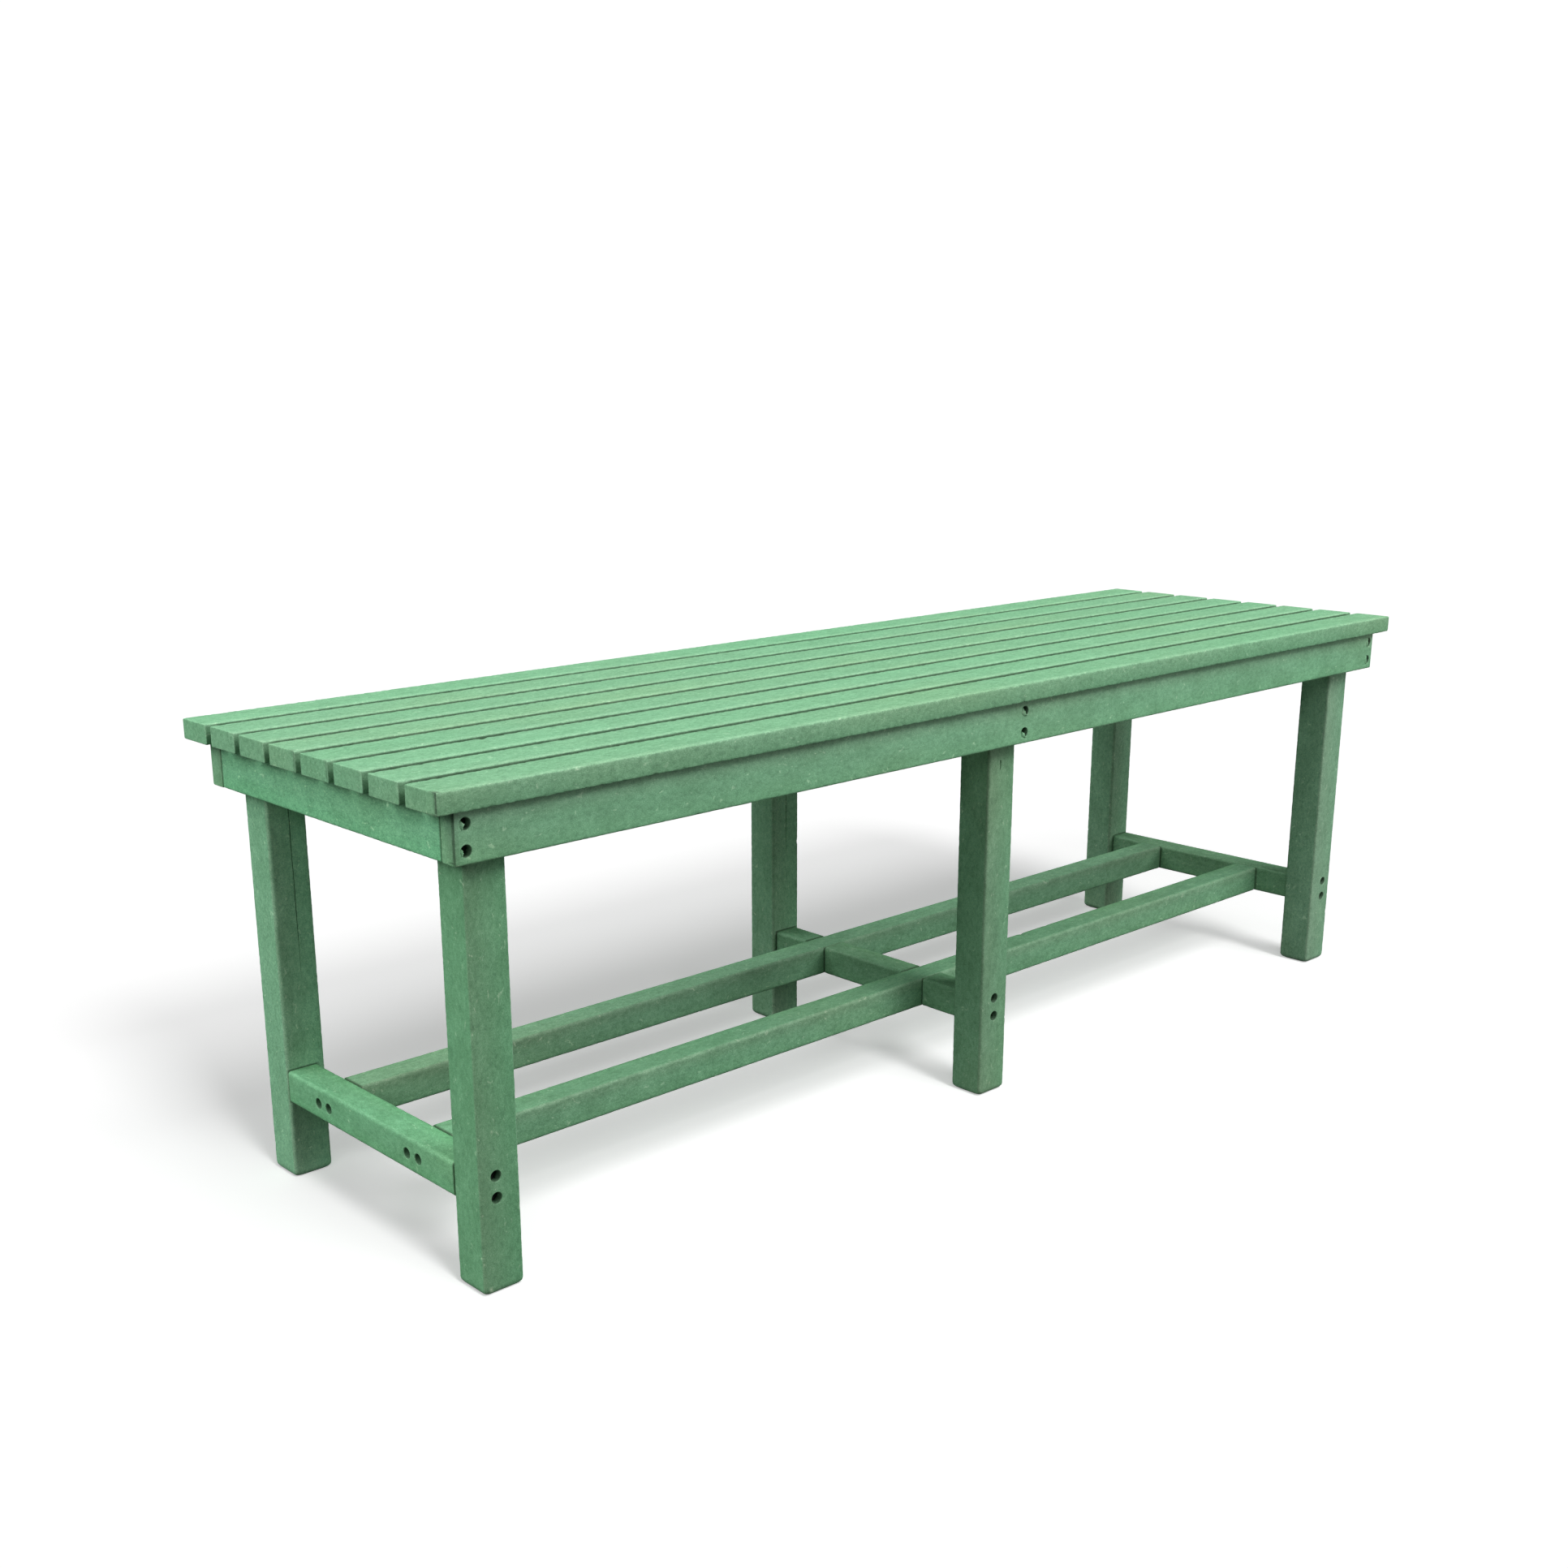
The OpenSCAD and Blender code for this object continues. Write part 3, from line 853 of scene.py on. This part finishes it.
def steel(name):
    """Dull coated steel for the screw heads."""
    mat, t, bsdf = new_material(name)
    mottle = node(t, "ShaderNodeTexNoise", Scale=900.0, Detail=3.0)
    link(t, t.nodes.new("ShaderNodeTexCoord").outputs["Object"], mottle.inputs["Vector"])
    fac = mottle.outputs["Fac"]
    colour = mix(t, spread(t, fac, 0.35, 0.65), (0.030, 0.036, 0.030), (0.075, 0.082, 0.070))
    link(t, colour, bsdf.inputs["Base Color"])
    link(t, spread(t, fac, 0.3, 0.7, 0.35, 0.6), bsdf.inputs["Roughness"])
    bsdf.inputs["Metallic"].default_value = 0.8
    relief(t, bsdf, fac, 0.3, 0.1 * MM)
    return mat


SEAT = plastic(
    "plastic_seat", dark=(0.176, 0.405, 0.222), light=(0.200, 0.455, 0.254),
    grain_depth=1.1, fleck=0.7, front=(1.32, 1.16, 1.23),
)
FRAME = plastic(
    "plastic_frame", dark=(0.168, 0.382, 0.210), light=(0.212, 0.468, 0.266),
    grain_depth=1.0, fleck=1.0, front=(1.09, 0.905, 0.965),
)
STEEL = steel("screw_steel")

# ---------------------------------------------------------------- making the boards

# Boards, slot, material, radius of the long edges and of the ends, spacing of the points along and
# across the board, and how ragged its long edges are
FAMILIES = [
    (SLATS, "seat", SEAT, 1.3 * MM, 0.8 * MM, 1.6 * MM, 6.5 * MM, 0.80 * MM),
    (APRONS, "apron", FRAME, 2.0 * MM, 0.8 * MM, 3.0 * MM, 6.5 * MM, 0.30 * MM),
    (LEGS, "leg", FRAME, 2.5 * MM, 1.0 * MM, 2.6 * MM, 6.0 * MM, 0.30 * MM),
    (BARS, "stretcher", FRAME, 3.0 * MM, 0.8 * MM, 3.0 * MM, 6.0 * MM, 0.25 * MM),
]


def make_board(name, slot, material, radius, end_radius, step, flat_step, ragged):
    """The board that takes the place of one node of the frame."""
    board = Board(name, radius, end_radius, feet=(slot == "leg"))
    board.random_nicks(max(1, round(board.length / NICK_SPACING)), (1.5 * MM, 4 * MM), (0.3 * MM, 0.9 * MM))
    for x, y, z, reach, depth in CHIPS.get(name, []):
        place = board.local(np.array([[x, y, z]]) * MM)[0]
        board.nick(*place, reach * MM, depth * MM)
    for crease in CREASES.get(name, []):
        board.crease(*crease)
    board.build(step, flat_step, ragged)
    if name.startswith("side_apron"):
        on_face = sorted((m for m in board.mouths if abs(m[1][Y]) > 0.5), key=lambda m: tuple(m[0]))
        for mouth, curl in zip(on_face, CURLS):
            board.curl(mouth, *curl)
    board.paint_facts()
    mesh = board.piece.data
    mesh.materials.clear()
    mesh.materials.append(material)
    mesh.polygons.foreach_set("use_smooth", [True] * len(mesh.polygons))
    mesh.set_sharp_from_angle(angle=math.radians(38))
    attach(board.piece, "root")
    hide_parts(name)
    return board


paint_occlusion_shade([make_board(name, *looks) for names, *looks in FAMILIES for name in names])

for name in SCREW_NODES:
    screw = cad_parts[name]
    screw.data.materials.clear()
    screw.data.materials.append(STEEL)

# ---------------------------------------------------------------- floor and light

FLOOR_HALF = 40
FLOOR_CORNERS = [(-1, -1), (1, -1), (1, 1), (-1, 1)]
floor_mesh = bpy.data.meshes.new("floor")
floor_mesh.from_pydata([(FLOOR_HALF * x, FLOOR_HALF * y, 0) for x, y in FLOOR_CORNERS], [], [(0, 1, 2, 3)])
floor = bpy.data.objects.new("floor", floor_mesh)
bpy.context.scene.collection.objects.link(floor)


def floor_material():
    """Pale to the camera and evenly lit, and duller for the light it throws back at the bench."""
    mat, t, bsdf = new_material("floor")
    t.nodes.remove(bsdf)
    pale = node(t, "ShaderNodeBsdfDiffuse", Color=(0.82, 0.82, 0.82, 1))
    glow = node(t, "ShaderNodeEmission", Color=(1, 1, 1, 1), Strength=0.465)
    dull = node(t, "ShaderNodeBsdfDiffuse", Color=(0.13, 0.13, 0.13, 1))
    seen = node(t, "ShaderNodeAddShader")
    link(t, pale.outputs[0], seen.inputs[0])
    link(t, glow.outputs[0], seen.inputs[1])
    choose = node(t, "ShaderNodeMixShader")
    link(t, node(t, "ShaderNodeLightPath").outputs["Is Camera Ray"], choose.inputs[0])
    link(t, dull.outputs[0], choose.inputs[1])
    link(t, seen.outputs[0], choose.inputs[2])
    link(t, choose.outputs[0], t.nodes["Material Output"].inputs["Surface"])
    return mat


floor_mesh.materials.append(floor_material())


def floor_group(name, state):
    """A light group that takes in only the floor, or everything but the floor."""
    group = bpy.data.collections.new(name)
    group.objects.link(floor)
    group.collection_objects[0].light_linking.link_state = state
    return group


def add_lamp(name, data, where, towards, group):
    """A lamp that lights that group and isn't seen itself."""
    lamp = bpy.data.objects.new(name, data)
    bpy.context.scene.collection.objects.link(lamp)
    lamp.location = where
    lamp.rotation_mode = "QUATERNION"
    lamp.rotation_quaternion = Vector(towards).to_track_quat("-Z", "Y")
    lamp.light_linking.receiver_collection = group
    lamp.visible_camera = False
    return lamp


def soft_sun(name, direction, width, strength, group):
    """Light from a direction, width degrees across, that gives a white surface facing it that strength."""
    data = bpy.data.lights.new(name, "SUN")
    data.energy = math.pi * strength
    data.angle = math.radians(width)
    lamp = add_lamp(name, data, (0, 0, 5), -Vector(direction), group)
    if direction[Z] < 0:
        # Light from below the horizon has to pass the floor
        lamp.light_linking.blocker_collection = group


def panel(name, place, aim, size, strength, group):
    """A square soft box that gives the middle of the bench about that strength."""
    data = bpy.data.lights.new(name, "AREA")
    data.shape, data.size = "SQUARE", size
    data.energy = strength * math.pi ** 2 * (Vector(place) - Vector(BENCH_MIDDLE)).length_squared
    add_lamp(name, data, place, Vector(aim) - Vector(place), group)


BENCH_MIDDLE = (0.2, 0.0, 0.3)
ON_BENCH = floor_group("on_bench", "EXCLUDE")
ON_FLOOR = floor_group("on_floor", "INCLUDE")
panel("key", (0.6, -2.0, 2.6), BENCH_MIDDLE, 1.4, 0.549, ON_BENCH)
panel("fill", (1.0, -2.4, 0.7), (0.3, 0.0, 0.3), 1.0, 0.140, ON_BENCH)
panel("side", (-2.6, 0.2, 1.6), (-0.4, 0.0, 0.3), 1.4, 0.158, ON_BENCH)
soft_sun("back", (0.0, 0.5, 0.87), 40, 0.486, ON_BENCH)
soft_sun("back_left", (-0.5, 0.5, 0.7), 30, 0.172, ON_BENCH)
soft_sun("front_right", (0.5, -0.7, 0.5), 25, 0.186, ON_BENCH)
soft_sun("left_low", (-0.87, 0.0, 0.5), 20, 0.205, ON_BENCH)
soft_sun("left_high", (-0.5, 0.0, 0.87), 30, 0.152, ON_BENCH)
soft_sun("front_left", (-0.7, -0.5, 0.5), 25, 0.143, ON_BENCH)
soft_sun("right_rear", (0.88, 0.40, -0.25), 25, 0.22, ON_BENCH)
soft_sun("floor_low", (-0.1, -0.77, 0.64), 14, 0.462, ON_FLOOR)
soft_sun("floor_high", (0.0, -0.5, 0.87), 25, 0.336, ON_FLOOR)
soft_sun("floor_left", (-0.5, -0.5, 0.7), 22, 0.133, ON_FLOOR)


def white_backdrop():
    """A world that the camera sees as plain white, and that hardly lights the bench."""
    world = bpy.data.worlds.new("world")
    bpy.context.scene.world = world
    world.use_nodes = True
    t = world.node_tree
    backdrop = t.nodes["Background"]
    backdrop.inputs["Color"].default_value = (1, 1, 1, 1)
    seen = node(t, "ShaderNodeLightPath").outputs["Is Camera Ray"]
    link(t, spread(t, seen, 0, 1, 0.02, 1.05), backdrop.inputs["Strength"])


white_backdrop()
